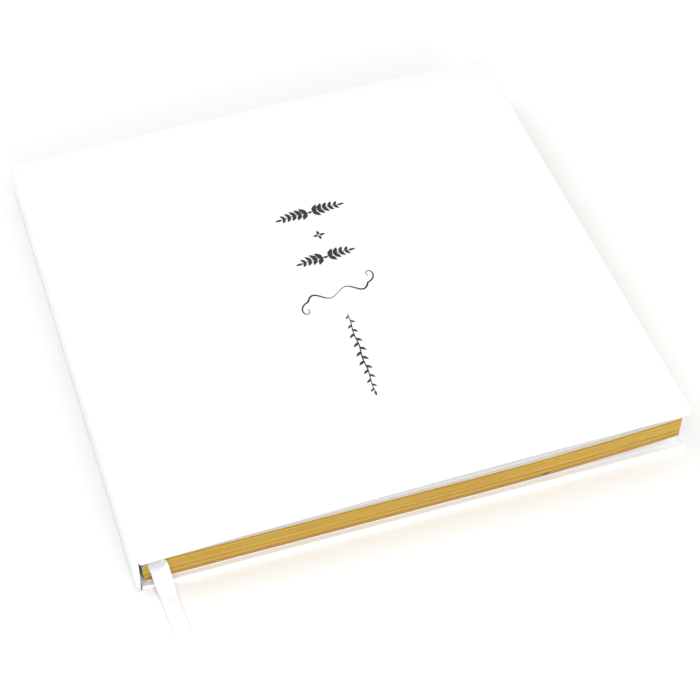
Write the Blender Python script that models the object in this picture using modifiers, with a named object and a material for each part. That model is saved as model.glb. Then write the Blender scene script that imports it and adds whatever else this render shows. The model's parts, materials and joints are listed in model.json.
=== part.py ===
"""Square hard-case guest book with gilt edges and a ribbon marker, closed and lying on its back cover.

Metres, +X from the spine to the fore-edge, +Y from the tail to the head, +Z up.
The origin is the centre of the back cover's underside.
"""

import bmesh
import bpy
from mathutils import Matrix, Vector

# Driving sizes of the case
BOOK_WIDTH = 0.3175
BOOK_HEIGHT = 0.3175
SPINE_THICKNESS = 0.026
COVER_THICKNESS = 0.003
WRAP_THICKNESS = 0.0003
BOARD_THICKNESS = 0.0022
CORNER_RADIUS = 0.0015
TURN_IN = 0.015
JOINT_WIDTH = 0.008
FIT_GAP = 0.0001

# Closed shape: the front cover bows and climbs, the block curls up at the fore-edge
COVER_BOW = 0.002
COVER_CLIMB = 0.007
BLOCK_CURL = 0.006
CURL_START = 0.60

# Text block
SECTION_COUNT = 10
SECTION_PITCH = 0.0015
SECTION_THICKNESS = 0.0014
LEAF_THICKNESS = 0.0002
SQUARE = 0.0033
BLOCK_BACK_SETBACK = 0.005
BLOCK_BACK_ROUNDING = 0.0014
FOLD_BEVEL = 0.0005

# Spine linings
LINING_THICKNESS = 0.0003
TAPE_WIDTH = 0.014
TAPE_COUNT = 3
TAPE_THICKNESS = 0.0004
JOINT_LINING_WIDTH = 0.0022

# Ribbon marker
RIBBON_WIDTH = 0.010
RIBBON_THICKNESS = 0.0002

# Motion: the front half of the block turns over, and the back half shears towards the gutter
OPENING_AXIS_Z = 0.0121
OPENING_AXIS_FIRST = -0.005
OPENING_AXIS_STEP = 0.0008

# The front endpaper stands clear of the block, so that the pages can shift under it as the book opens
ENDPAPER_LIFT = 0.0022
ENDPAPER_LEAD = 0.015

CURVE_CUTS = 20

SPINE_X = -BOOK_WIDTH / 2
FORE_X = BOOK_WIDTH / 2
TAIL_Y = -BOOK_HEIGHT / 2
HEAD_Y = BOOK_HEIGHT / 2
BOARD_X = SPINE_X + JOINT_WIDTH
SPINE_INNER_X = SPINE_X + COVER_THICKNESS
WALL_START_X = SPINE_INNER_X + 5 * FIT_GAP
BLOCK_BACK_X = SPINE_X + BLOCK_BACK_SETBACK
BLOCK_FORE_X = FORE_X - SQUARE
BLOCK_TAIL_Y = TAIL_Y + SQUARE
BLOCK_HEAD_Y = HEAD_Y - SQUARE
BACK_LEAF_Z = COVER_THICKNESS + LEAF_THICKNESS + 2 * FIT_GAP
BLOCK_BASE_Z = BACK_LEAF_Z + LEAF_THICKNESS + FIT_GAP
BLOCK_TOP_Z = BLOCK_BASE_Z + SECTION_COUNT * SECTION_PITCH - (SECTION_PITCH - SECTION_THICKNESS)
RIBBON_Z = BLOCK_TOP_Z + FIT_GAP
FRONT_LEAF_Z = RIBBON_Z + RIBBON_THICKNESS + ENDPAPER_LIFT


def clear_scene():
    """Remove every object so that the model starts from an empty scene."""
    for item in list(bpy.data.objects):
        bpy.data.objects.remove(item, do_unlink=True)


def make_material(name, colour, roughness, metallic=0.0):
    """A plain Principled material."""
    material = bpy.data.materials.new(name)
    material.use_nodes = True
    shader = material.node_tree.nodes["Principled BSDF"]
    shader.inputs["Base Color"].default_value = (*colour, 1.0)
    shader.inputs["Roughness"].default_value = roughness
    shader.inputs["Metallic"].default_value = metallic
    return material


def cover_rise(x):
    """How far the front cover stands above its level at the joint, at distance x."""
    along = max(0.0, (x - BOARD_X) / (FORE_X - BOARD_X))
    return COVER_CLIMB * along + COVER_BOW * 4 * along * (1 - along)


def block_rise(x):
    """How far the leaves curl up off the back cover, at distance x."""
    along = max(0.0, ((x - SPINE_X) / BOOK_WIDTH - CURL_START) / (1 - CURL_START))
    return BLOCK_CURL * along**2


def endpaper_rise(x):
    """How far the front endpaper curls up: it starts to climb a little before the leaves below it."""
    return block_rise(x + ENDPAPER_LEAD)


def flat(x):
    """No rise, for the pieces that lie flat."""
    return 0.0


def box_mesh(x_range, y_range, z_range):
    """A bmesh box between the given limits."""
    mesh = bmesh.new()
    bmesh.ops.create_cube(mesh, size=1.0)
    spans = [high - low for low, high in (x_range, y_range, z_range)]
    middle = [(high + low) / 2 for low, high in (x_range, y_range, z_range)]
    bmesh.ops.scale(mesh, vec=Vector(spans), verts=mesh.verts)
    bmesh.ops.translate(mesh, vec=Vector(middle), verts=mesh.verts)
    return mesh


def cut_across(mesh, axis, places):
    """Add edge loops where planes square to the axis meet the mesh."""
    normal = Vector([1.0 if i == axis else 0.0 for i in range(3)])
    for place in places:
        geometry = mesh.verts[:] + mesh.edges[:] + mesh.faces[:]
        bmesh.ops.bisect_plane(mesh, geom=geometry, dist=1e-7, plane_co=normal * place, plane_no=normal)


def curve_places(low, high):
    """The places between two limits where every curved piece bends, so that neighbours stay parallel."""
    step = (FORE_X - BOARD_X) / CURVE_CUTS
    places = [BOARD_X + step * i for i in range(CURVE_CUTS)]
    return [x for x in places if low + FIT_GAP < x < high - FIT_GAP]


def lift_points(mesh, rise):
    """Raise every point by the rise at its own x."""
    for vert in mesh.verts:
        vert.co.z += rise(vert.co.x)


def add_object(name, mesh, material, collection):
    """Turn a bmesh into a named object in the book's collection."""
    data = bpy.data.meshes.new(name)
    mesh.normal_update()
    mesh.to_mesh(data)
    mesh.free()
    item = bpy.data.objects.new(name, data)
    item.data.materials.append(material)
    collection.objects.link(item)
    return item


def bevel_edges(mesh, chosen, radius, segments):
    """Round the chosen edges of a bmesh."""
    bmesh.ops.bevel(
        mesh, geom=chosen, offset=radius, segments=segments, profile=0.5, affect="EDGES", clamp_overlap=True
    )


def upright_corners(mesh):
    """The edges that run straight up at a plate's four corners."""
    return [e for e in mesh.edges if abs(e.verts[0].co.z - e.verts[1].co.z) > 0.9 * e.calc_length()]


def plate(name, x_range, y_range, z_range, rise, material, collection, corner_radius=0.0):
    """A sheet or board that follows a rise along x."""
    mesh = box_mesh(x_range, y_range, z_range)
    if corner_radius:
        bevel_edges(mesh, upright_corners(mesh), corner_radius, 3)
    if rise is not flat:
        cut_across(mesh, 0, curve_places(*x_range))
        lift_points(mesh, rise)
    return add_object(name, mesh, material, collection)


def wrap_surface(x_range, wall_start, far_wall):
    """The open skin of a covering sheet, outer face down at z = 0, with walls and turned-in edges."""
    mesh = box_mesh(x_range, (TAIL_Y, HEAD_Y), (0.0, COVER_THICKNESS))
    if far_wall:
        corners = [e for e in upright_corners(mesh) if e.verts[0].co.x > (x_range[0] + x_range[1]) / 2]
        bevel_edges(mesh, corners, CORNER_RADIUS, 3)
    fold_x = x_range[1] - TURN_IN if far_wall else x_range[1]
    cut_across(mesh, 1, (TAIL_Y + TURN_IN, HEAD_Y - TURN_IN))
    cut_across(mesh, 0, (wall_start, fold_x) if far_wall else (wall_start,))
    mesh.normal_update()
    unwanted = []
    for face in mesh.faces:
        middle = face.calc_center_median()
        on_outer_face = face.normal.z < -0.5
        on_near_edge = face.normal.x < -0.9
        on_far_edge = face.normal.x > 0.9 and not far_wall
        in_window = face.normal.z > 0.5 and middle.x < fold_x and abs(middle.y) < HEAD_Y - TURN_IN
        before_walls = middle.x < wall_start and not on_outer_face
        if on_near_edge or on_far_edge or in_window or before_walls:
            unwanted.append(face)
    bmesh.ops.delete(mesh, geom=unwanted, context="FACES")
    return mesh


def solidify(item, thickness):
    """Give an open skin its thickness, inwards."""
    modifier = item.modifiers.new("thickness", "SOLIDIFY")
    modifier.thickness = thickness
    modifier.offset = -1.0
    modifier.use_even_offset = True
    return item


def back_wrap(material, collection):
    """The covering sheet of the back board, with its share of the joint."""
    mesh = wrap_surface((SPINE_X + 4 * FIT_GAP, FORE_X), WALL_START_X, True)
    return solidify(add_object("back_wrap", mesh, material, collection), WRAP_THICKNESS)


def front_wrap(material, collection):
    """The covering sheet of the front board, turned over and bowed."""
    mesh = wrap_surface((SPINE_X + 4 * FIT_GAP, FORE_X), WALL_START_X, True)
    cut_across(mesh, 0, curve_places(SPINE_X, FORE_X))
    for vert in mesh.verts:
        vert.co.z = SPINE_THICKNESS - vert.co.z + cover_rise(vert.co.x)
    bmesh.ops.reverse_faces(mesh, faces=mesh.faces)
    return solidify(add_object("front_wrap", mesh, material, collection), WRAP_THICKNESS)


def spine_wrap(material, collection):
    """The covering sheet of the spine board, folded in at head and tail."""
    mesh = wrap_surface((4 * FIT_GAP, SPINE_THICKNESS - 4 * FIT_GAP), 0.0, False)
    for vert in mesh.verts:
        vert.co.x, vert.co.z = SPINE_X + vert.co.z, vert.co.x
    bmesh.ops.reverse_faces(mesh, faces=mesh.faces)
    return solidify(add_object("spine_wrap", mesh, material, collection), WRAP_THICKNESS)


def section(index, material, collection):
    """One folded section of leaves, numbered from the front, with a soft fold at its back."""
    base = BLOCK_BASE_Z + (SECTION_COUNT - index) * SECTION_PITCH
    off_middle = (2 * index - 1 - SECTION_COUNT) / (SECTION_COUNT - 1)
    back_x = BLOCK_BACK_X + BLOCK_BACK_ROUNDING * off_middle**2
    mesh = box_mesh((back_x, BLOCK_FORE_X), (BLOCK_TAIL_Y, BLOCK_HEAD_Y), (base, base + SECTION_THICKNESS))
    fold_edges = [
        e for e in mesh.edges
        if all(v.co.x < back_x + FIT_GAP for v in e.verts) and e.calc_length() > TURN_IN
    ]
    bevel_edges(mesh, fold_edges, FOLD_BEVEL, 2)
    cut_across(mesh, 0, curve_places(BLOCK_BACK_X + SECTION_THICKNESS, BLOCK_FORE_X))
    lift_points(mesh, block_rise)
    return add_object(f"section_{index}", mesh, material, collection)


def ribbon_route():
    """Points along the ribbon's middle line: over the first page, down the tail edge and along the table."""
    start = Vector((SPINE_X + 0.0105, HEAD_Y - 0.014, RIBBON_Z))
    points = [start.lerp(Vector((SPINE_X + 0.0126, BLOCK_TAIL_Y + 0.001, RIBBON_Z)), i / 4) for i in range(5)]
    hang = [
        (0.0128, -0.0003, RIBBON_Z - 0.0001),
        (0.0131, -0.0013, RIBBON_Z - 0.0012),
        (0.0138, -0.0021, 0.0145),
        (0.0145, -0.0031, 0.0085),
        (0.0150, -0.0042, 0.0042),
        (0.0153, -0.0056, 0.0022),
        (0.0156, -0.0085, 0.0008),
        (0.0159, -0.0135, 0.0002),
        (0.0164, -0.0250, 0.0002),
        (0.0169, -0.0369, 0.0002),
    ]
    points += [Vector((SPINE_X + x, BLOCK_TAIL_Y + y, z)) for x, y, z in hang]
    return points


def ribbon(material, collection):
    """The satin marker: a thin strip swept along its route."""
    route = ribbon_route()
    mesh = bmesh.new()
    bmesh.ops.create_grid(mesh, x_segments=1, y_segments=len(route) - 1, size=0.5)
    across = Vector((RIBBON_WIDTH, 0.0, 0.0))
    for vert in mesh.verts:
        place = route[round((0.5 - vert.co.y) * (len(route) - 1))]
        vert.co = place + across * vert.co.x
    item = add_object("ribbon", mesh, material, collection)
    solidify(item, RIBBON_THICKNESS).modifiers["thickness"].offset = 1.0
    return item


def hang_on_axis(name, place, items, collection):
    """Parent the pieces of one moving body to an empty that lies on its joint's axis."""
    axis = bpy.data.objects.new(name, None)
    axis.empty_display_size = 0.02
    axis.location = place
    collection.objects.link(axis)
    for item in items:
        item.parent = axis
        item.matrix_parent_inverse = Matrix.Translation(-Vector(place))


def build():
    """Make every piece of the book and put it in place."""
    clear_scene()
    book = bpy.data.collections.new("guest_book")
    bpy.context.scene.collection.children.link(book)

    laminate = make_material("white_laminate", (0.90, 0.90, 0.89), 0.28)
    greyboard = make_material("greyboard", (0.42, 0.39, 0.34), 0.9)
    leaf_paper = make_material("leaf_paper", (0.93, 0.91, 0.85), 0.7)
    gilt_paper = make_material("gilt_paper", (0.78, 0.57, 0.16), 0.35, 0.8)
    lining = make_material("lining_paper", (0.72, 0.66, 0.54), 0.85)
    cloth = make_material("binding_cloth", (0.85, 0.83, 0.76), 0.9)
    satin = make_material("white_satin", (0.92, 0.92, 0.93), 0.35)

    board_y = (TAIL_Y + WRAP_THICKNESS + FIT_GAP, HEAD_Y - WRAP_THICKNESS - FIT_GAP)
    board_z = (WRAP_THICKNESS + FIT_GAP, WRAP_THICKNESS + FIT_GAP + BOARD_THICKNESS)
    board_x = (BOARD_X, FORE_X - WRAP_THICKNESS - FIT_GAP)
    front_z = tuple(SPINE_THICKNESS - z for z in reversed(board_z))
    leaf_y = (BLOCK_TAIL_Y, BLOCK_HEAD_Y)
    leaf_x = (BLOCK_BACK_X + BLOCK_BACK_ROUNDING, BLOCK_FORE_X)
    paste_x = (WALL_START_X, BLOCK_FORE_X)
    joint_x = (SPINE_X + 4 * FIT_GAP, SPINE_X + 4 * FIT_GAP + JOINT_LINING_WIDTH)

    # Back cover, with the last section and leaf, which never move on it
    plate("back_board", board_x, board_y, board_z, flat, greyboard, book, CORNER_RADIUS)
    back_wrap(laminate, book)
    lining_z = (WRAP_THICKNESS + FIT_GAP, WRAP_THICKNESS + FIT_GAP + LINING_THICKNESS)
    plate("back_joint_lining", joint_x, board_y, lining_z, flat, cloth, book)
    paste_z = (COVER_THICKNESS + FIT_GAP, COVER_THICKNESS + FIT_GAP + LEAF_THICKNESS)
    plate("back_pastedown", paste_x, leaf_y, paste_z, flat, leaf_paper, book)
    back_leaf_z = (BACK_LEAF_Z, BACK_LEAF_Z + LEAF_THICKNESS)
    plate("back_flyleaf", leaf_x, leaf_y, back_leaf_z, block_rise, leaf_paper, book)

    # Spine: board, covering, hollow lining, cloth and sewing tapes
    spine_z = (lining_z[1] + FIT_GAP, SPINE_THICKNESS - lining_z[1] - FIT_GAP)
    spine_board_x = (SPINE_X + board_z[0], SPINE_X + board_z[1])
    spine_items = [plate("spine_board", spine_board_x, board_y, spine_z, flat, greyboard, book)]
    spine_items.append(spine_wrap(laminate, book))
    liner_y = (TAIL_Y + TURN_IN + FIT_GAP, HEAD_Y - TURN_IN - FIT_GAP)
    liner_x = (SPINE_INNER_X - LINING_THICKNESS, SPINE_INNER_X)
    block_z = (BLOCK_BASE_Z, BLOCK_TOP_Z)
    spine_items.append(plate("spine_liner", liner_x, liner_y, block_z, flat, lining, book))
    mull_x = (SPINE_INNER_X + FIT_GAP, SPINE_INNER_X + FIT_GAP + LINING_THICKNESS)
    spine_items.append(plate("spine_cloth", mull_x, liner_y, block_z, flat, cloth, book))
    tape_x = (mull_x[1] + FIT_GAP, mull_x[1] + FIT_GAP + TAPE_THICKNESS)
    for index in range(1, TAPE_COUNT + 1):
        middle = TAIL_Y + BOOK_HEIGHT * index / (TAPE_COUNT + 1)
        tape_y = (middle - TAPE_WIDTH / 2, middle + TAPE_WIDTH / 2)
        spine_items.append(plate(f"sewing_tape_{index}", tape_x, tape_y, block_z, flat, cloth, book))

    # Front cover and the strip that joins it to the spine
    front_items = [plate("front_board", board_x, board_y, front_z, cover_rise, greyboard, book, CORNER_RADIUS)]
    front_items.append(front_wrap(laminate, book))
    paste_z = tuple(SPINE_THICKNESS - z for z in reversed(paste_z))
    front_items.append(plate("front_pastedown", paste_x, leaf_y, paste_z, cover_rise, leaf_paper, book))
    lining_z = tuple(SPINE_THICKNESS - z for z in reversed(lining_z))
    joint_lining = plate("front_joint_lining", joint_x, board_y, lining_z, flat, cloth, book)

    # Text block
    front_leaf_z = (FRONT_LEAF_Z, FRONT_LEAF_Z + LEAF_THICKNESS)
    front_leaf = plate("front_flyleaf", leaf_x, leaf_y, front_leaf_z, endpaper_rise, leaf_paper, book)
    marker = ribbon(satin, book)
    sections = {i: section(i, gilt_paper, book) for i in range(1, SECTION_COUNT + 1)}

    # Joint axes
    hang_on_axis("spine_axis", (SPINE_X, 0.0, 0.0), spine_items, book)
    hang_on_axis("front_cover_axis", (SPINE_X, 0.0, SPINE_THICKNESS), front_items, book)
    hang_on_axis("endpaper_axis", (SPINE_X, 0.0, SPINE_THICKNESS), [joint_lining, front_leaf], book)
    for index in range(1, SECTION_COUNT // 2 + 1):
        axis_x = SPINE_X + OPENING_AXIS_FIRST + OPENING_AXIS_STEP * (index - 1)
        items = [sections[index]] + ([marker] if index == 1 else [])
        hang_on_axis(f"section_{index}_axis", (axis_x, 0.0, OPENING_AXIS_Z), items, book)


build()
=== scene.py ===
"""The looks of the guest book: case skins, gilt leaves, ribbon, cover ornament, materials, light and camera.

Metres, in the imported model's frame: +X from the spine to the fore-edge, +Y from the tail to the head, +Z up.
"""

import json
import random
from math import cos, exp, pi, radians, sin

import bmesh
import bpy
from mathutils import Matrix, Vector

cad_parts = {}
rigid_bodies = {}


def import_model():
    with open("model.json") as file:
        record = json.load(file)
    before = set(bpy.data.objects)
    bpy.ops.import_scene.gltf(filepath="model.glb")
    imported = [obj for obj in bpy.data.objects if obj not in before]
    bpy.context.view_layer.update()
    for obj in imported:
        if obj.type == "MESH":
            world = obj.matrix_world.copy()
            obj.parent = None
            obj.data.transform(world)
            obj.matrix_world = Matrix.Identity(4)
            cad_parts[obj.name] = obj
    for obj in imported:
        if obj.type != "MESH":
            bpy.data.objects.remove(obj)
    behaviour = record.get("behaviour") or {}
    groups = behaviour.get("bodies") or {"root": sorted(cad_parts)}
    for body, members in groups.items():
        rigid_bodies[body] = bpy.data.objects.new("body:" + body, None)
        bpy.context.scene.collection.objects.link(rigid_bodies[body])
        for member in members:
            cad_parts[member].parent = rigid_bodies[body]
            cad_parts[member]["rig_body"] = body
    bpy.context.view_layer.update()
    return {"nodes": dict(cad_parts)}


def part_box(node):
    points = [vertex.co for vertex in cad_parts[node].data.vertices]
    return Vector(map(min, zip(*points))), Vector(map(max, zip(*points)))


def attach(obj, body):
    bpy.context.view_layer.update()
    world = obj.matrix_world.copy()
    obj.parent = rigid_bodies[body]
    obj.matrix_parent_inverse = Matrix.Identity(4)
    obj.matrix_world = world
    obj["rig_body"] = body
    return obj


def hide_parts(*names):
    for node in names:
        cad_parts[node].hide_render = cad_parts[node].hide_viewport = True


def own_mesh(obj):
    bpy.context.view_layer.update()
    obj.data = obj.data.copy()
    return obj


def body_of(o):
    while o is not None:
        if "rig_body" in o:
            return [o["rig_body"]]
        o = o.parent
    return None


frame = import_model()
MM = 0.001

# Sizes read from the frame
WRAP_LOW, WRAP_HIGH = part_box("back_wrap")
SPINE_LOW, SPINE_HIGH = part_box("spine_wrap")
SPINE_X, TAIL_Y = SPINE_LOW[0], WRAP_LOW[1]
FORE_X, HEAD_Y = WRAP_HIGH[0], WRAP_HIGH[1]
BOARD_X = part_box("back_board")[0][0]
COVER_THICKNESS = WRAP_HIGH[2]
SPINE_TOP = SPINE_HIGH[2] + SPINE_LOW[2]
BLOCK_LOW, BLOCK_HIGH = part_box("section_10")
BLOCK_FORE_X = BLOCK_HIGH[0]
BLOCK_TAIL_Y, BLOCK_HEAD_Y = BLOCK_LOW[1], BLOCK_HIGH[1]
SECTION_NAMES = sorted(
    (name for name in frame["nodes"] if name.startswith("section_")), key=lambda name: int(name.split("_")[1])
)

# Shape of the closed book, as in the CAD model
COVER_BOW = 2 * MM
COVER_CLIMB = 7 * MM
BLOCK_CURL = 6 * MM
CURL_START = 0.60

# Case skin
SKIN_THICKNESS = 0.3 * MM
CORNER_RADIUS = 2.0 * MM
EDGE_RADIUS = 0.6 * MM
TURN_IN = 15 * MM
WALL_START = 3.5 * MM
GROOVE_DEPTH = 0.45 * MM
GROOVE_CENTRE = 5.6 * MM
GROOVE_WIDTH = 1.4 * MM
CURVE_STEP = 4 * MM

# Leaves
LEAVES_PER_SECTION = 5
LEAF_THICKNESS = 0.25 * MM
GILT_THICKNESS = 0.03 * MM
# How deep the gold of each section is, from the top of the block down
GILT_DEPTHS = (0.8, 0.0, 0.3, 0.0, 0.3, 0.0, 0.7, 0.0, 0.7, 0.8)

# Ribbon: its way down from the tail of the page, in mm beside the spine and the block's tail
RIBBON_WIDTH = 10 * MM
RIBBON_THICKNESS = 0.15 * MM
RIBBON_STEPS = 190
RIBBON_COLUMNS = 8
RIBBON_CUP = 0.12 * MM
RIBBON_END_SLANT = 1.4 * MM
RIBBON_FALL = (
    (12.8, -0.3, 18.6),
    (13.1, -1.3, 17.5),
    (13.8, -2.1, 14.5),
    (14.5, -3.1, 8.5),
    (15.0, -4.2, 4.3),
    (15.3, -5.6, 2.3),
    (15.6, -8.5, 0.9),
    (15.9, -13.5, 0.3),
    (16.4, -25.0, 0.3),
    (16.9, -36.9, 0.3),
)

# A small scuff on the gilding of the tail edge
SCUFF_PLACE = (75 * MM, BLOCK_TAIL_Y, 5.3 * MM)
SCUFF_RADIUS = 2.4 * MM


# ---------------------------------------------------------------- shapes


def cover_rise(x):
    """Height of the front cover above its level at the joint."""
    along = max(0.0, (x - BOARD_X) / (FORE_X - BOARD_X))
    return COVER_CLIMB * along + COVER_BOW * 4 * along * (1 - along)


def block_rise(x):
    """Height that the leaves curl up to, towards the fore-edge."""
    along = max(0.0, ((x - SPINE_X) / (FORE_X - SPINE_X) - CURL_START) / (1 - CURL_START))
    return BLOCK_CURL * along**2


def groove(x):
    """Depth of the pressed joint groove beside the spine."""
    offset = (x - SPINE_X - GROOVE_CENTRE) / GROOVE_WIDTH
    return GROOVE_DEPTH * exp(-offset * offset)


def spaced(low, high, step):
    """Evenly spaced places strictly between two limits, about a step apart."""
    count = max(1, round((high - low) / step))
    return [low + (high - low) * i / count for i in range(1, count)]


def add_piece(name, mesh, material, body, smooth_angle=40):
    """Turn a bmesh into a piece that rides on a body."""
    mesh.normal_update()
    data = bpy.data.meshes.new(name)
    mesh.to_mesh(data)
    mesh.free()
    data.shade_smooth()
    data.set_sharp_from_angle(angle=radians(smooth_angle))
    data.materials.append(material)
    piece = bpy.data.objects.new(name, data)
    bpy.context.scene.collection.objects.link(piece)
    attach(piece, body)
    return piece


def box_mesh(low, high):
    """A bmesh box between two corners."""
    mesh = bmesh.new()
    bmesh.ops.create_cube(mesh, size=1.0)
    low, high = Vector(low), Vector(high)
    bmesh.ops.scale(mesh, vec=high - low, verts=mesh.verts)
    bmesh.ops.translate(mesh, vec=(high + low) / 2, verts=mesh.verts)
    return mesh


def cut_across(mesh, axis, places):
    """Add edge loops where planes square to an axis meet the mesh."""
    normal = Vector([float(i == axis) for i in range(3)])
    for place in places:
        geometry = mesh.verts[:] + mesh.edges[:] + mesh.faces[:]
        bmesh.ops.bisect_plane(mesh, geom=geometry, dist=1e-7, plane_co=normal * place, plane_no=normal)


def case_skin(x_low, x_high, wall_start, has_fore_edge):
    """The covering sheet before it is placed: outer face down, rounded edges, turned in round an open window."""
    mesh = box_mesh((x_low, TAIL_Y, 0), (x_high, HEAD_Y, COVER_THICKNESS))
    middle_x = (x_low + x_high) / 2
    if has_fore_edge:
        upright = [e for e in mesh.edges if abs(e.verts[0].co.z - e.verts[1].co.z) > COVER_THICKNESS / 2]
        corners = [e for e in upright if e.verts[0].co.x > middle_x]
        bmesh.ops.bevel(mesh, geom=corners, offset=CORNER_RADIUS, segments=8, profile=0.5, affect="EDGES")
    rim = []
    for edge in mesh.edges:
        a, b = (v.co for v in edge.verts)
        level = abs(a.z - b.z) < EDGE_RADIUS
        at_spine = max(a.x, b.x) < x_low + EDGE_RADIUS
        at_open_end = min(a.x, b.x) > x_high - EDGE_RADIUS and not has_fore_edge
        if level and not at_spine and not at_open_end:
            rim.append(edge)
    bmesh.ops.bevel(mesh, geom=rim, offset=EDGE_RADIUS, segments=4, profile=0.5, affect="EDGES")
    fold_x = x_high - TURN_IN if has_fore_edge else x_high
    cut_across(mesh, 1, (TAIL_Y + TURN_IN, HEAD_Y - TURN_IN))
    if wall_start > x_low:
        cut_across(mesh, 0, (wall_start,))
    if has_fore_edge:
        cut_across(mesh, 0, [fold_x] + spaced(x_low, x_low + 12 * MM, 0.6 * MM) + spaced(BOARD_X, x_high, CURVE_STEP))
    mesh.normal_update()
    unwanted = []
    for face in mesh.faces:
        middle = face.calc_center_median()
        outer = face.normal.z < -0.05 and middle.z < EDGE_RADIUS
        ends = face.normal.x < -0.9 or (face.normal.x > 0.9 and not has_fore_edge)
        window = face.normal.z > 0.5 and middle.x < fold_x and abs(middle.y) < HEAD_Y - TURN_IN
        if ends or window or (middle.x < wall_start and not outer):
            unwanted.append(face)
    bmesh.ops.delete(mesh, geom=unwanted, context="FACES")
    return mesh


def thicken(piece, thickness, offset=-1.0):
    """Give an open skin its thickness."""
    modifier = piece.modifiers.new("thickness", "SOLIDIFY")
    modifier.thickness = thickness
    modifier.offset = offset
    modifier.use_even_offset = True
    return piece


def add_hinge_bead(name, middle_z, side, radius, laminate):
    """The rounded corner of the covering where the spine meets a cover: a quarter round along Y."""
    steps = 6
    mesh = bmesh.new()
    middle_x = SPINE_X + radius
    outline = [(middle_x, middle_z)]
    for i in range(steps + 1):
        turn = pi / 2 * i / steps
        outline.append((middle_x - radius * cos(turn), middle_z + side * radius * sin(turn)))
    ends = [[mesh.verts.new((x, y, z)) for x, z in outline] for y in (TAIL_Y + EDGE_RADIUS, HEAD_Y - EDGE_RADIUS)]
    for i in range(len(outline)):
        j = (i + 1) % len(outline)
        mesh.faces.new((ends[0][i], ends[0][j], ends[1][j], ends[1][i]))
    mesh.faces.new(ends[0])
    mesh.faces.new(ends[1])
    bmesh.ops.recalc_face_normals(mesh, faces=mesh.faces)
    add_piece(name, mesh, laminate, "spine")


def make_case(laminate):
    """The three skins of the hard case, which meet at the hinge lines, and the beads that round them off."""
    hinge_gap = WRAP_LOW[0] - SPINE_X
    flat = case_skin(WRAP_LOW[0], FORE_X, SPINE_X + WALL_START, True)
    for vert in flat.verts:
        vert.co.z += groove(vert.co.x)
    back = thicken(add_piece("back_case_skin", flat, laminate, "back_cover"), SKIN_THICKNESS)
    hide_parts("back_wrap")

    bowed = case_skin(WRAP_LOW[0], FORE_X, SPINE_X + WALL_START, True)
    for vert in bowed.verts:
        vert.co.z = SPINE_TOP - vert.co.z - groove(vert.co.x) + cover_rise(vert.co.x)
    bmesh.ops.reverse_faces(bowed, faces=bowed.faces)
    front = thicken(add_piece("front_case_skin", bowed, laminate, "front_cover"), SKIN_THICKNESS)
    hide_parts("front_wrap")

    upright = case_skin(hinge_gap, SPINE_TOP - hinge_gap, 0.0, False)
    for vert in upright.verts:
        vert.co.x, vert.co.z = SPINE_X + vert.co.z, vert.co.x
    bmesh.ops.reverse_faces(upright, faces=upright.faces)
    spine = thicken(add_piece("spine_case_skin", upright, laminate, "spine"), SKIN_THICKNESS)
    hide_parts("spine_wrap")
    add_hinge_bead("front_hinge_bead", SPINE_TOP - hinge_gap, 1, hinge_gap, laminate)
    add_hinge_bead("back_hinge_bead", hinge_gap, -1, hinge_gap, laminate)


def leaf_outline(back_x, fore_x, tail_y, head_y):
    """The three trimmed edges of a leaf, from the tail of the fold round to its head."""
    places = [back_x] + spaced(back_x, fore_x, 2 * CURVE_STEP) + [fore_x]
    return [(x, tail_y) for x in places] + [(x, head_y) for x in reversed(places)]


def add_walls(mesh, outer, inner, z_low, z_high):
    """A closed band between two outlines, following the block's curl."""
    rings = []
    for x_y in zip(outer, inner):
        ring = []
        for (x, y), z in ((x_y[0], z_low), (x_y[0], z_high), (x_y[1], z_high), (x_y[1], z_low)):
            ring.append(mesh.verts.new((x, y, z + block_rise(x))))
        rings.append(ring)
    for here, there in zip(rings, rings[1:]):
        for i in range(4):
            j = (i + 1) % 4
            mesh.faces.new((here[i], there[i], there[j], here[j]))
    mesh.faces.new(rings[0])
    mesh.faces.new(list(reversed(rings[-1])))


def add_leaf(mesh, back_x, fore_x, tail_y, head_y, z_low, z_high):
    """A closed sheet that follows the block's curl."""
    places = [back_x] + spaced(back_x, fore_x, 2 * CURVE_STEP) + [fore_x]
    rings = []
    for x in places:
        corners = ((tail_y, z_low), (head_y, z_low), (head_y, z_high), (tail_y, z_high))
        rings.append([mesh.verts.new((x, y, z + block_rise(x))) for y, z in corners])
    for here, there in zip(rings, rings[1:]):
        for i in range(4):
            j = (i + 1) % 4
            mesh.faces.new((here[i], here[j], there[j], there[i]))
    mesh.faces.new(list(reversed(rings[0])))
    mesh.faces.new(rings[-1])


def add_fold(mesh, back_x, radius, middle_z, y_low, y_high):
    """The round fold at the back of a section: a half cylinder along Y."""
    steps = 10
    arc = [
        (back_x + radius - radius * sin(pi * i / steps), middle_z - radius * cos(pi * i / steps))
        for i in range(steps + 1)
    ]
    ends = [[mesh.verts.new((x, y, z)) for x, z in arc] for y in (y_low, y_high)]
    for i in range(steps):
        mesh.faces.new((ends[0][i], ends[0][i + 1], ends[1][i + 1], ends[1][i]))
    mesh.faces.new((ends[0][0], ends[1][0], ends[1][-1], ends[0][-1]))
    mesh.faces.new(list(reversed(ends[0])))
    mesh.faces.new(ends[1])


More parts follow.
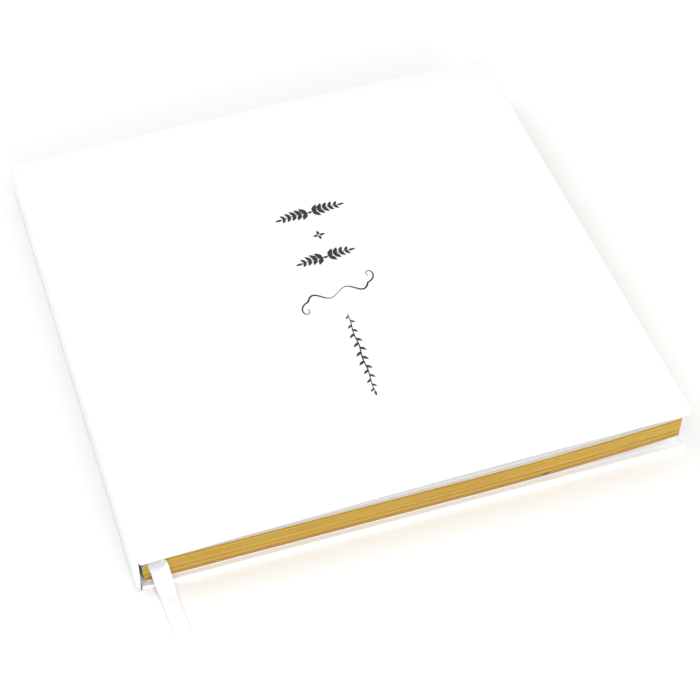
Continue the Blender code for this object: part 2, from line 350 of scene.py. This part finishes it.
def make_section(node, paper, gilt, draw):
    """One section: its leaves, its round fold and the gilding on its trimmed edges."""
    low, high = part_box(node)
    body = body_of(frame["nodes"][node])
    body = body if isinstance(body, str) else body[0]
    thickness = high[2] - low[2] - block_rise(high[0])
    back_x, base_z = low[0], low[2]
    radius = thickness / 2
    leaves, edges = bmesh.new(), bmesh.new()
    add_fold(leaves, back_x, radius, base_z + radius, BLOCK_TAIL_Y + GILT_THICKNESS, BLOCK_HEAD_Y - GILT_THICKNESS)
    for y in (BLOCK_TAIL_Y, BLOCK_HEAD_Y - GILT_THICKNESS):
        add_fold(edges, back_x, radius, base_z + radius, y, y + GILT_THICKNESS)
    pitch = (thickness - LEAF_THICKNESS) / (LEAVES_PER_SECTION - 1)
    for index in range(LEAVES_PER_SECTION):
        z_low = base_z + pitch * index
        z_high = z_low + LEAF_THICKNESS
        trim = draw.uniform(0.0, 0.12) * MM
        start_x = back_x + radius + 0.02 * MM
        x, tail, head = BLOCK_FORE_X - trim, BLOCK_TAIL_Y + trim, BLOCK_HEAD_Y - trim
        inner = (x - GILT_THICKNESS, tail + GILT_THICKNESS, head - GILT_THICKNESS)
        add_leaf(leaves, start_x, *inner, z_low, z_high)
        add_walls(edges, leaf_outline(start_x, x, tail, head), leaf_outline(start_x, *inner), z_low, z_high)
    bmesh.ops.recalc_face_normals(leaves, faces=leaves.faces)
    bmesh.ops.recalc_face_normals(edges, faces=edges.faces)
    piece = add_piece(f"{node}_leaves", leaves, paper, body)
    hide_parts(node)
    add_piece(f"{node}_gilding", edges, gilt, body)


def smooth_route(points, count):
    """Points evenly placed along a Catmull-Rom curve through the given points."""
    places = [Vector(p) for p in points]
    padded = [2 * places[0] - places[1]] + places + [2 * places[-1] - places[-2]]
    fine = []
    per_span = 24
    for i in range(len(places) - 1):
        p0, p1, p2, p3 = padded[i:i + 4]
        for k in range(per_span):
            t = k / per_span
            fine.append(0.5 * (2 * p1 + (p2 - p0) * t + (2 * p0 - 5 * p1 + 4 * p2 - p3) * t**2
                               + (3 * p1 - p0 - 3 * p2 + p3) * t**3))
    fine.append(places[-1])
    lengths = [0.0]
    for a, b in zip(fine, fine[1:]):
        lengths.append(lengths[-1] + (b - a).length)
    out, i = [], 0
    for k in range(count + 1):
        want = lengths[-1] * k / count
        while i < len(lengths) - 2 and lengths[i + 1] < want:
            i += 1
        share = (want - lengths[i]) / max(lengths[i + 1] - lengths[i], 1e-9)
        out.append(fine[i].lerp(fine[i + 1], min(max(share, 0.0), 1.0)))
    return out, lengths[-1]


def make_ribbon(satin):
    """The satin marker: from the head of the first page, down the tail edge and along the table."""
    _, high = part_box("ribbon")
    page_z = high[2] - 0.1 * MM
    x, y = SPINE_X, BLOCK_TAIL_Y
    route = [(x + 10.5 * MM + 2.1 * MM * i / 4, high[1] + (y + 1 * MM - high[1]) * i / 4, page_z) for i in range(5)]
    for dx, dy, z in RIBBON_FALL:
        route.append((x + dx * MM, y + dy * MM, z * MM))
    points, length = smooth_route(route, RIBBON_STEPS)
    mesh = bmesh.new()
    rows = []
    for i, point in enumerate(points):
        ahead = points[min(i + 1, len(points) - 1)] - points[max(i - 1, 0)]
        across = Vector((1.0, 0.0, 0.0)) - ahead * ahead.x / ahead.length_squared
        across.normalize()
        row = []
        for k in range(RIBBON_COLUMNS + 1):
            side = k / RIBBON_COLUMNS - 0.5
            bend = RIBBON_CUP * (4 * side * side) * max(0.0, min(1.0, (y - point.y) / (12 * MM)))
            cut = Vector((0.0, 0.0, 0.0))
            if i == len(points) - 1:
                cut = ahead.normalized() * (-RIBBON_END_SLANT * (side + 0.5))
            row.append(mesh.verts.new(point + across * side * RIBBON_WIDTH + Vector((0, 0, bend)) + cut))
        rows.append(row)
    for here, there in zip(rows, rows[1:]):
        for k in range(RIBBON_COLUMNS):
            mesh.faces.new((here[k], here[k + 1], there[k + 1], there[k]))
    bmesh.ops.recalc_face_normals(mesh, faces=mesh.faces)
    piece = add_piece("satin_ribbon", mesh, satin, "first_section", 80)
    thicken(piece, RIBBON_THICKNESS, 0.0)
    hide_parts("ribbon")
    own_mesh(piece)


# ---------------------------------------------------------------- materials


def new_material(name, colour, roughness, metallic=0.0):
    """A Principled material, its tree and its shader."""
    material = bpy.data.materials.new(name)
    material.use_nodes = True
    tree = material.node_tree
    shader = tree.nodes["Principled BSDF"]
    shader.inputs["Base Color"].default_value = (*colour, 1.0)
    shader.inputs["Roughness"].default_value = roughness
    shader.inputs["Metallic"].default_value = metallic
    return material, tree, shader


def coordinates(tree, scale):
    """Object coordinates, stretched by a scale on each axis."""
    place = tree.nodes.new("ShaderNodeTexCoord")
    mapping = tree.nodes.new("ShaderNodeMapping")
    mapping.inputs["Scale"].default_value = scale
    tree.links.new(place.outputs["Object"], mapping.inputs["Vector"])
    return mapping.outputs["Vector"]


def noise(tree, scale, size, detail=4.0, roughness=0.55):
    """A noise value over stretched object coordinates."""
    node = tree.nodes.new("ShaderNodeTexNoise")
    node.inputs["Scale"].default_value = size
    node.inputs["Detail"].default_value = detail
    node.inputs["Roughness"].default_value = roughness
    tree.links.new(coordinates(tree, scale), node.inputs["Vector"])
    return node.outputs["Fac"]


def wave(tree, scale, direction, size, distortion=0.0):
    """A sine wave across one axis."""
    node = tree.nodes.new("ShaderNodeTexWave")
    node.wave_type = "BANDS"
    node.bands_direction = direction
    node.inputs["Scale"].default_value = size
    node.inputs["Distortion"].default_value = distortion
    tree.links.new(coordinates(tree, scale), node.inputs["Vector"])
    return node.outputs["Fac"]


def ramp(tree, value, stops):
    """A colour ramp over a value: stops of (place, colour)."""
    node = tree.nodes.new("ShaderNodeValToRGB")
    elements = node.color_ramp.elements
    while len(elements) < len(stops):
        elements.new(0.5)
    for element, (place, colour) in zip(elements, stops):
        element.position = place
        element.color = (*colour, 1.0)
    tree.links.new(value, node.inputs["Fac"])
    return node.outputs["Color"]


def rescale(tree, value, low, high):
    """Map 0..1 to a range."""
    node = tree.nodes.new("ShaderNodeMapRange")
    node.inputs["To Min"].default_value = low
    node.inputs["To Max"].default_value = high
    tree.links.new(value, node.inputs["Value"])
    return node.outputs["Result"]


def multiply(tree, a, b):
    """Product of two values."""
    node = tree.nodes.new("ShaderNodeMath")
    node.operation = "MULTIPLY"
    tree.links.new(a, node.inputs[0])
    tree.links.new(b, node.inputs[1])
    return node.outputs["Value"]


def scuffed(tree, colour):
    """Darken a colour in a small ragged spot, where the gold is rubbed off."""
    place = tree.nodes.new("ShaderNodeTexCoord")
    away = tree.nodes.new("ShaderNodeVectorMath")
    away.operation = "DISTANCE"
    away.inputs[1].default_value = SCUFF_PLACE
    tree.links.new(place.outputs["Object"], away.inputs[0])
    near = tree.nodes.new("ShaderNodeMapRange")
    near.inputs["From Min"].default_value = SCUFF_RADIUS
    near.inputs["From Max"].default_value = SCUFF_RADIUS / 2
    tree.links.new(away.outputs["Value"], near.inputs["Value"])
    ragged = rescale(tree, noise(tree, (1, 1, 2), 900, 3), 0.0, 1.5)
    mix = tree.nodes.new("ShaderNodeMix")
    mix.data_type = "RGBA"
    mix.inputs["B"].default_value = (0.16, 0.07, 0.01, 1.0)
    tree.links.new(multiply(tree, near.outputs["Result"], ragged), mix.inputs["Factor"])
    tree.links.new(colour, mix.inputs["A"])
    return mix.outputs["Result"]


def add_bump(tree, shader, layers):
    """Chain bumps: layers of (height, strength, distance in metres)."""
    normal = None
    for height, strength, distance in layers:
        node = tree.nodes.new("ShaderNodeBump")
        node.inputs["Strength"].default_value = strength
        node.inputs["Distance"].default_value = distance
        tree.links.new(height, node.inputs["Height"])
        if normal:
            tree.links.new(normal, node.inputs["Normal"])
        normal = node.outputs["Normal"]
    tree.links.new(normal, shader.inputs["Normal"])


def laminate_material():
    """White printed paper under a satin film: faint orange peel and a slow waviness."""
    material, tree, shader = new_material("white_laminate", (0.9, 0.9, 0.9), 0.3)
    tone = noise(tree, (1, 1, 1), 9, 3)
    colour = ramp(tree, tone, ((0.3, (0.86, 0.86, 0.86)), (0.7, (0.885, 0.885, 0.88))))
    tree.links.new(colour, shader.inputs["Base Color"])
    tree.links.new(rescale(tree, noise(tree, (1, 1, 1), 60, 4), 0.24, 0.36), shader.inputs["Roughness"])
    shader.inputs["Coat Weight"].default_value = 0.35
    shader.inputs["Coat Roughness"].default_value = 0.18
    add_bump(tree, shader, (
        (noise(tree, (1, 1, 1), 900, 2), 0.10, 0.00006),
        (noise(tree, (1, 1, 1), 22, 2), 0.12, 0.0006),
    ))
    return material


def gilt_material(name, depth):
    """Gold leaf on trimmed paper edges: long fine streaks along the leaves. Depth makes the gold darker and redder."""
    material, tree, shader = new_material(name, (0.8, 0.5, 0.05), 0.34, 1.0)
    streaks = noise(tree, (2.5, 2.5, 1100), 4, 5, 0.6)
    patches = noise(tree, (1, 1, 4), 26, 3)
    stops = (
        (0.30, (0.45, 0.25, 0.008)),
        (0.42, (0.63, 0.40, 0.012)),
        (0.58, (0.76, 0.51, 0.022)),
        (0.74, (0.87, 0.69, 0.13)),
    )
    fade = (1 - 0.25 * depth, 1 - 0.45 * depth, 1 - 0.5 * depth)
    colour = ramp(tree, streaks, [(place, [c * f for c, f in zip(gold, fade)]) for place, gold in stops])
    tree.links.new(scuffed(tree, colour), shader.inputs["Base Color"])
    rough = multiply(tree, rescale(tree, streaks, 0.55, 0.30), rescale(tree, patches, 0.8, 1.25))
    tree.links.new(rough, shader.inputs["Roughness"])
    add_bump(tree, shader, (
        (streaks, 0.5, 0.00012),
        (noise(tree, (1, 1, 1), 700, 3), 0.15, 0.00005),
    ))
    return material


def paper_material(name, shade, light):
    """Uncoated paper with a fibre tooth, between two tones."""
    material, tree, shader = new_material(name, shade, 0.75)
    fibres = noise(tree, (1, 1.6, 1), 420, 5, 0.65)
    tree.links.new(ramp(tree, fibres, ((0.3, shade), (0.7, light))), shader.inputs["Base Color"])
    add_bump(tree, shader, ((fibres, 0.25, 0.00005), (noise(tree, (1, 1, 1), 14, 2), 0.12, 0.0008)))
    return material


def satin_material():
    """Polyester satin: fine cross ribs and long floats."""
    material, tree, shader = new_material("white_satin", (0.88, 0.88, 0.89), 0.34)
    ribs = wave(tree, (1, 1, 1), "Y", 900, 0.4)
    floats = noise(tree, (900, 40, 40), 2, 3)
    colour = ramp(tree, floats, ((0.3, (0.86, 0.86, 0.87)), (0.7, (0.92, 0.92, 0.925))))
    tree.links.new(colour, shader.inputs["Base Color"])
    tree.links.new(rescale(tree, ribs, 0.28, 0.44), shader.inputs["Roughness"])
    shader.inputs["Sheen Weight"].default_value = 0.25
    shader.inputs["Sheen Roughness"].default_value = 0.35
    shader.inputs["Anisotropic"].default_value = 0.4
    add_bump(tree, shader, ((ribs, 0.22, 0.00006), (floats, 0.2, 0.00005)))
    return material


def ink_material():
    """Black print under the film."""
    material, tree, shader = new_material("black_print", (0.012, 0.012, 0.013), 0.35)
    mottle = noise(tree, (1, 1, 1), 300, 3)
    colour = ramp(tree, mottle, ((0.3, (0.008, 0.008, 0.009)), (0.7, (0.022, 0.022, 0.024))))
    tree.links.new(colour, shader.inputs["Base Color"])
    tree.links.new(rescale(tree, mottle, 0.28, 0.42), shader.inputs["Roughness"])
    return material


def board_material():
    """Raw grey board with dark and pale flecks."""
    material, tree, shader = new_material("raw_greyboard", (0.42, 0.39, 0.34), 0.9)
    flecks = noise(tree, (1, 1, 1), 700, 6, 0.8)
    colour = ramp(tree, flecks, ((0.3, (0.26, 0.24, 0.21)), (0.7, (0.52, 0.49, 0.43))))
    tree.links.new(colour, shader.inputs["Base Color"])
    add_bump(tree, shader, ((flecks, 0.5, 0.00015),))
    return material


def cloth_material():
    """Open cotton weave for the spine cloth, tapes and joint strips."""
    material, tree, shader = new_material("binding_cloth", (0.84, 0.82, 0.75), 0.9)
    warp = wave(tree, (1, 1, 1), "Y", 420)
    weft = wave(tree, (1, 1, 1), "Z", 420)
    weave = multiply(tree, warp, weft)
    colour = ramp(tree, weave, ((0.1, (0.62, 0.6, 0.52)), (0.6, (0.87, 0.85, 0.78))))
    tree.links.new(colour, shader.inputs["Base Color"])
    add_bump(tree, shader, ((weave, 0.6, 0.00015),))
    return material


def lining_material():
    """Kraft lining paper."""
    material, tree, shader = new_material("lining_paper", (0.6, 0.48, 0.33), 0.85)
    fibres = noise(tree, (1, 0.3, 1), 500, 5, 0.7)
    colour = ramp(tree, fibres, ((0.3, (0.5, 0.39, 0.26)), (0.7, (0.66, 0.54, 0.38))))
    tree.links.new(colour, shader.inputs["Base Color"])
    add_bump(tree, shader, ((fibres, 0.35, 0.00008),))
    return material


def dress_node(name, material):
    """Give a carried-over CAD node its material."""
    data = frame["nodes"][name].data
    data.materials.clear()
    data.materials.append(material)


# ---------------------------------------------------------------- cover ornament


INK_LOW = 0.02 * MM
INK_HIGH = 0.06 * MM


def add_tile(mesh, outline):
    """A thin printed shape on the front cover, from a flat outline in metres."""
    rings = []
    for lift in (INK_LOW, INK_HIGH):
        rings.append([mesh.verts.new((x, y, SPINE_TOP + cover_rise(x) + lift)) for x, y in outline])
    low, high = rings
    mesh.faces.new(high)
    mesh.faces.new(list(reversed(low)))
    for i in range(len(outline)):
        j = (i + 1) % len(outline)
        mesh.faces.new((low[i], low[j], high[j], high[i]))


def placed(outline, centre, angle):
    """Millimetres about a drawing's own origin, turned and moved to their place on the cover."""
    c, s = cos(radians(angle)), sin(radians(angle))
    return [((centre[0] + x * c - y * s) * MM, (centre[1] + x * s + y * c) * MM) for x, y in outline]


def leaf_shape(base, angle, length, width):
    """A pointed leaf that grows from its base."""
    steps = 9
    sides = [(length * t / steps, width / 2 * sin(pi * (t / steps) ** 0.75)) for t in range(steps + 1)]
    outline = sides + [(x, -y) for x, y in reversed(sides[1:-1])]
    c, s = cos(angle), sin(angle)
    return [(base[0] + x * c - y * s, base[1] + x * s + y * c) for x, y in outline]


def stroke_tiles(points, widths):
    """Short quads along a line whose width changes, as a pen draws it."""
    sides = []
    for i, (x, y) in enumerate(points):
        x0, y0 = points[max(i - 1, 0)]
        x1, y1 = points[min(i + 1, len(points) - 1)]
        length = max(((x1 - x0) ** 2 + (y1 - y0) ** 2) ** 0.5, 1e-9)
        nx, ny = -(y1 - y0) / length * widths[i] / 2, (x1 - x0) / length * widths[i] / 2
        sides.append(((x + nx, y + ny), (x - nx, y - ny)))
    return [[a[0], b[0], b[1], a[1]] for a, b in zip(sides, sides[1:])]


def sprig(half, leaf, pairs):
    """A level garland: two stems that leave a centre berry, with leaf pairs that shrink outwards."""
    shapes = []
    for side in (-1, 1):
        stem = [(side * half * t / 24, 0.9 * sin(pi * t / 24)) for t in range(25)]
        shapes += stroke_tiles(stem, [0.9 - 0.4 * t / 24 for t in range(25)])
        for k in range(pairs):
            t = (k + 0.6) / pairs
            base = (side * half * t * 0.93, 0.9 * sin(pi * t * 0.93))
            size = leaf * (1 - 0.42 * t)
            lean = 0.0 if side > 0 else pi
            for turn in (0.95, -0.95):
                shapes.append(leaf_shape(base, lean + side * turn, size, size * 0.48))
        shapes.append(leaf_shape((side * half * 0.97, 0.1), 0.0 if side > 0 else pi, leaf * 0.7, leaf * 0.26))
    shapes.append([(0.9 * cos(2 * pi * k / 16), 0.9 * sin(2 * pi * k / 16)) for k in range(16)])
    return shapes


def blossom(size):
    """A small four-petalled mark."""
    return [leaf_shape((0.35 * cos(a), 0.35 * sin(a)), a, size, size * 0.5) for a in (0, pi / 2, pi, 3 * pi / 2)]


def flourish(half, height):
    """A thin pen flourish: a long wave that closes in a curl at each end."""
    shapes = []
    for side in (-1, 1):
        points, widths = [], []
        steps = 84
        for k in range(steps + 1):
            t = k / steps
            if t < 0.62:
                u = t / 0.62
                points.append((side * half * 0.80 * u, side * height * 0.40 * sin(2 * pi * u) * (0.4 + 0.6 * u)))
            else:
                u = (t - 0.62) / 0.38
                turn = 1.6 * pi * u - pi / 2
                radius = height * 0.5 * (1 - 0.72 * u)
                points.append((
                    side * (half * 0.80 + height * 0.42 * sin(pi * u / 2) * 0.8 + radius * cos(turn) * 0.9),
                    side * (height * 0.5 + radius * sin(turn)),
                ))
            widths.append(0.40 + 0.75 * sin(pi * t) ** 2)
        shapes += stroke_tiles(points, widths)
    return shapes


def vine(length, leaf):
    """A straight slender stem with alternating leaves, drawn from left to right."""
    steps = 40
    stem = [(length * (t / steps - 0.5), 0.35 * sin(6 * pi * t / steps)) for t in range(steps + 1)]
    shapes = stroke_tiles(stem, [0.45 + 0.3 * sin(pi * t / steps) for t in range(steps + 1)])
    count = 17
    for k in range(count):
        t = (k + 0.5) / count
        base = (length * (t - 0.5), 0.35 * sin(6 * pi * t))
        size = leaf * (0.62 + 0.38 * sin(pi * t))
        side = 1 if k % 2 else -1
        shapes.append(leaf_shape(base, side * 0.85, size, size * 0.40))
    shapes.append(leaf_shape((length * 0.5, 0), 0.0, leaf * 0.8, leaf * 0.3))
    return shapes


def make_ornament(ink):
    """Generic printed ornament in the middle of the cover: garlands, a mark, a flourish and a vine."""
    drawings = (
        ("ornament_upper_garland", sprig(18.5, 6.6, 5), (5.4, 56.5), 3),
        ("ornament_mark", blossom(3.6), (4.8, 36.4), 3),
        ("ornament_lower_garland", sprig(15.0, 6.6, 4), (3.0, 17.5), 4),
        ("ornament_flourish", flourish(24.0, 11.0), (1.0, -12.0), 6),
        ("ornament_vine", vine(60.0, 4.6), (-1.2, -60.0), -93.5),
    )
    for name, shapes, centre, angle in drawings:
        mesh = bmesh.new()
        for outline in shapes:
            add_tile(mesh, placed(outline, centre, angle))
        bmesh.ops.recalc_face_normals(mesh, faces=mesh.faces)
        add_piece(name, mesh, ink, "front_cover")


# ---------------------------------------------------------------- stage


def make_camera_and_light():
    """Camera at the photograph's viewing angle, white floor and soft studio light."""
    camera_data = bpy.data.cameras.new("camera")
    camera_data.lens = 93.44
    camera_data.sensor_width = 36
    camera_data.clip_start = 0.01
    camera = bpy.data.objects.new("camera", camera_data)
    camera.location = (-0.2346, -0.7037, 0.8005)
    camera.rotation_euler = (radians(41.712), radians(-0.849), radians(-18.46))
    bpy.context.scene.collection.objects.link(camera)
    bpy.context.scene.camera = camera

    floor_mesh = bmesh.new()
    bmesh.ops.create_grid(floor_mesh, x_segments=1, y_segments=1, size=3.0)
    floor_data = bpy.data.meshes.new("floor")
    floor_mesh.to_mesh(floor_data)
    floor_mesh.free()
    floor = bpy.data.objects.new("floor", floor_data)
    bpy.context.scene.collection.objects.link(floor)
    material, _, shader = new_material("floor", (0.93, 0.93, 0.93), 0.9)
    shader.inputs["Specular IOR Level"].default_value = 0.0
    floor_data.materials.append(material)

    world = bpy.data.worlds.new("world")
    bpy.context.scene.world = world
    world.use_nodes = True
    background = world.node_tree.nodes["Background"]
    background.inputs["Color"].default_value = (1.0, 1.0, 1.0, 1.0)
    background.inputs["Strength"].default_value = 0.84
    bpy.context.scene.view_settings.view_transform = "Standard"

    for name, place, size, power in (
        ("key", (-0.9, 0.7, 1.5), 1.2, 8),
        ("fill", (1.2, -0.6, 1.4), 1.6, 4),
        ("front", (0.1, -1.8, 0.6), 1.0, 16),
    ):
        data = bpy.data.lights.new(name, "AREA")
        data.size = size
        data.energy = power
        light = bpy.data.objects.new(name, data)
        light.location = place
        light.rotation_euler = (Vector((0, 0, 0)) - Vector(place)).to_track_quat("-Z", "Y").to_euler()
        bpy.context.scene.collection.objects.link(light)


def main():
    """Make every piece, dress the CAD nodes that stay, and set the stage."""
    laminate = laminate_material()
    gilts = {depth: gilt_material(f"edge_gilding_{round(depth * 100)}", depth) for depth in sorted(set(GILT_DEPTHS))}
    paper = paper_material("leaf_paper", (0.80, 0.785, 0.74), (0.86, 0.845, 0.80))
    endpaper = paper_material("endpaper", (0.91, 0.91, 0.905), (0.95, 0.95, 0.945))
    satin = satin_material()
    make_case(laminate)
    draw = random.Random(5)
    for node, depth in zip(SECTION_NAMES, GILT_DEPTHS):
        make_section(node, paper, gilts[depth], draw)
    make_ribbon(satin)
    make_ornament(ink_material())
    board = board_material()
    cloth = cloth_material()
    lining = lining_material()
    for name in ("front_board", "back_board", "spine_board"):
        dress_node(name, board)
    for name in ("front_pastedown", "back_pastedown", "front_flyleaf", "back_flyleaf"):
        dress_node(name, endpaper)
    for name in frame["nodes"]:
        if name.startswith("sewing_tape") or name in ("spine_cloth", "front_joint_lining", "back_joint_lining"):
            dress_node(name, cloth)
    dress_node("spine_liner", lining)
    make_camera_and_light()


main()
